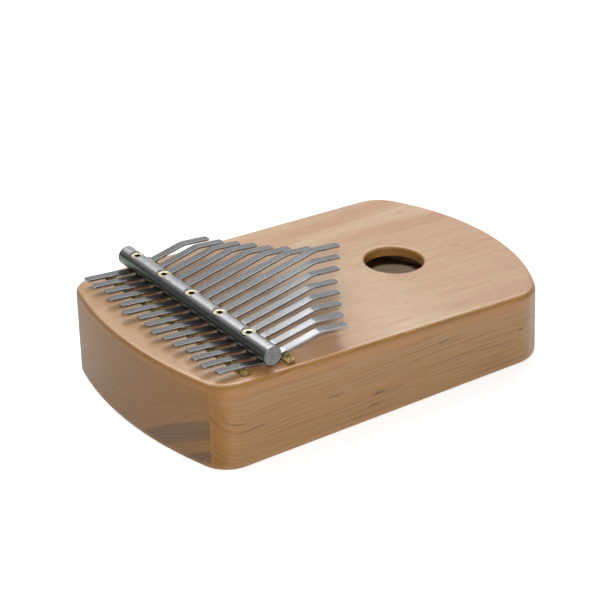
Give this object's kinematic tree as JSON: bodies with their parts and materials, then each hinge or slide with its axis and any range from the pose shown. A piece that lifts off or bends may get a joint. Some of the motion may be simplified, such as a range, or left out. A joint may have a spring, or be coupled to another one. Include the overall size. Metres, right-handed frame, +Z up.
{
  "type": "mbira",
  "caption": "Wedge-shaped wooden box lamellaphone with a round sound hole, brass bridge rods, a screwed steel clamp bar and bent flat steel tines.",
  "frame": {"origin": "middle of the box's underside, on the surface that it lies on", "axes": "+X across the tines, +Y along them from the player's end to the sound hole end, +Z up out of the sounding top"},
  "size_m": [0.14, 0.225, 0.0616],
  "materials": {
    "maple": "oiled pale maple, satin",
    "back_maple": "thin board, oiled, satin",
    "bar_steel": "drawn round bar, satin",
    "yellow_zinc": "yellow zinc plated steel",
    "brass": "threaded rod, bright",
    "spring_steel": "blank spring steel strip, satin"
  },
  "bodies": {
    "frame": {"body": "maple", "back_plate": "back_maple", "clamp_bar": "bar_steel", "clamp_screw_1": "yellow_zinc", "clamp_screw_2": "yellow_zinc", "clamp_screw_3": "yellow_zinc", "clamp_screw_4": "yellow_zinc", "clamp_screw_5": "yellow_zinc", "front_bridge_rod": "brass", "rear_bridge_rod": "brass"},
    "tine_01_strip": {"tine_01": "spring_steel"},
    "tine_02_strip": {"tine_02": "spring_steel"},
    "tine_03_strip": {"tine_03": "spring_steel"},
    "tine_04_strip": {"tine_04": "spring_steel"},
    "tine_05_strip": {"tine_05": "spring_steel"},
    "tine_06_strip": {"tine_06": "spring_steel"},
    "tine_07_strip": {"tine_07": "spring_steel"},
    "tine_08_strip": {"tine_08": "spring_steel"},
    "tine_09_strip": {"tine_09": "spring_steel"},
    "tine_10_strip": {"tine_10": "spring_steel"},
    "tine_11_strip": {"tine_11": "spring_steel"},
    "tine_12_strip": {"tine_12": "spring_steel"},
    "tine_13_strip": {"tine_13": "spring_steel"},
    "tine_14_strip": {"tine_14": "spring_steel"},
    "tine_15_strip": {"tine_15": "spring_steel"}
  },
  "joints": [
    {"name": "tine_01_flex", "type": "hinge", "parent": "frame", "child": "tine_01_strip", "pos_m": [-0.05936, -0.05323, 0.05059], "axis": [1, 0, 0], "range_deg": [-3, 2], "stiffness_Nm_per_rad": 5.215, "deforming": ["tine_01"]},
    {"name": "tine_02_flex", "type": "hinge", "parent": "frame", "child": "tine_02_strip", "pos_m": [-0.05088, -0.05273, 0.05068], "axis": [1, 0, 0], "range_deg": [-3, 2], "stiffness_Nm_per_rad": 4.741, "deforming": ["tine_02"]},
    {"name": "tine_03_flex", "type": "hinge", "parent": "frame", "child": "tine_03_strip", "pos_m": [-0.0424, -0.05201, 0.05082], "axis": [1, 0, 0], "range_deg": [-3, 2], "stiffness_Nm_per_rad": 4.191, "deforming": ["tine_03"]},
    {"name": "tine_04_flex", "type": "hinge", "parent": "frame", "child": "tine_04_strip", "pos_m": [-0.03392, -0.05128, 0.05096], "axis": [1, 0, 0], "range_deg": [-3, 2], "stiffness_Nm_per_rad": 3.755, "deforming": ["tine_04"]},
    {"name": "tine_05_flex", "type": "hinge", "parent": "frame", "child": "tine_05_strip", "pos_m": [-0.02544, -0.05067, 0.05107], "axis": [1, 0, 0], "range_deg": [-3, 2], "stiffness_Nm_per_rad": 3.451, "deforming": ["tine_05"]},
    {"name": "tine_06_flex", "type": "hinge", "parent": "frame", "child": "tine_06_strip", "pos_m": [-0.01696, -0.04984, 0.05123], "axis": [1, 0, 0], "range_deg": [-3, 2], "stiffness_Nm_per_rad": 3.109, "deforming": ["tine_06"]},
    {"name": "tine_07_flex", "type": "hinge", "parent": "frame", "child": "tine_07_strip", "pos_m": [-0.00848, -0.04878, 0.05143], "axis": [1, 0, 0], "range_deg": [-3, 2], "stiffness_Nm_per_rad": 2.761, "deforming": ["tine_07"]},
    {"name": "tine_08_flex", "type": "hinge", "parent": "frame", "child": "tine_08_strip", "pos_m": [0, -0.04711, 0.05174], "axis": [1, 0, 0], "range_deg": [-3, 2], "stiffness_Nm_per_rad": 2.347, "deforming": ["tine_08"]},
    {"name": "tine_09_flex", "type": "hinge", "parent": "frame", "child": "tine_09_strip", "pos_m": [0.00848, -0.048, 0.05157], "axis": [1, 0, 0], "range_deg": [-3, 2], "stiffness_Nm_per_rad": 2.551, "deforming": ["tine_09"]},
    {"name": "tine_10_flex", "type": "hinge", "parent": "frame", "child": "tine_10_strip", "pos_m": [0.01696, -0.04895, 0.0514], "axis": [1, 0, 0], "range_deg": [-3, 2], "stiffness_Nm_per_rad": 2.811, "deforming": ["tine_10"]},
    {"name": "tine_11_flex", "type": "hinge", "parent": "frame", "child": "tine_11_strip", "pos_m": [0.02544, -0.05001, 0.0512], "axis": [1, 0, 0], "range_deg": [-3, 2], "stiffness_Nm_per_rad": 3.172, "deforming": ["tine_11"]},
    {"name": "tine_12_flex", "type": "hinge", "parent": "frame", "child": "tine_12_strip", "pos_m": [0.03392, -0.05073, 0.05106], "axis": [1, 0, 0], "range_deg": [-3, 2], "stiffness_Nm_per_rad": 3.477, "deforming": ["tine_12"]},
    {"name": "tine_13_flex", "type": "hinge", "parent": "frame", "child": "tine_13_strip", "pos_m": [0.0424, -0.05151, 0.05091], "axis": [1, 0, 0], "range_deg": [-3, 2], "stiffness_Nm_per_rad": 3.879, "deforming": ["tine_13"]},
    {"name": "tine_14_flex", "type": "hinge", "parent": "frame", "child": "tine_14_strip", "pos_m": [0.05088, -0.05223, 0.05078], "axis": [1, 0, 0], "range_deg": [-3, 2], "stiffness_Nm_per_rad": 4.346, "deforming": ["tine_14"]},
    {"name": "tine_15_flex", "type": "hinge", "parent": "frame", "child": "tine_15_strip", "pos_m": [0.05936, -0.05279, 0.05067], "axis": [1, 0, 0], "range_deg": [-3, 2], "stiffness_Nm_per_rad": 4.79, "deforming": ["tine_15"]}
  ]
}
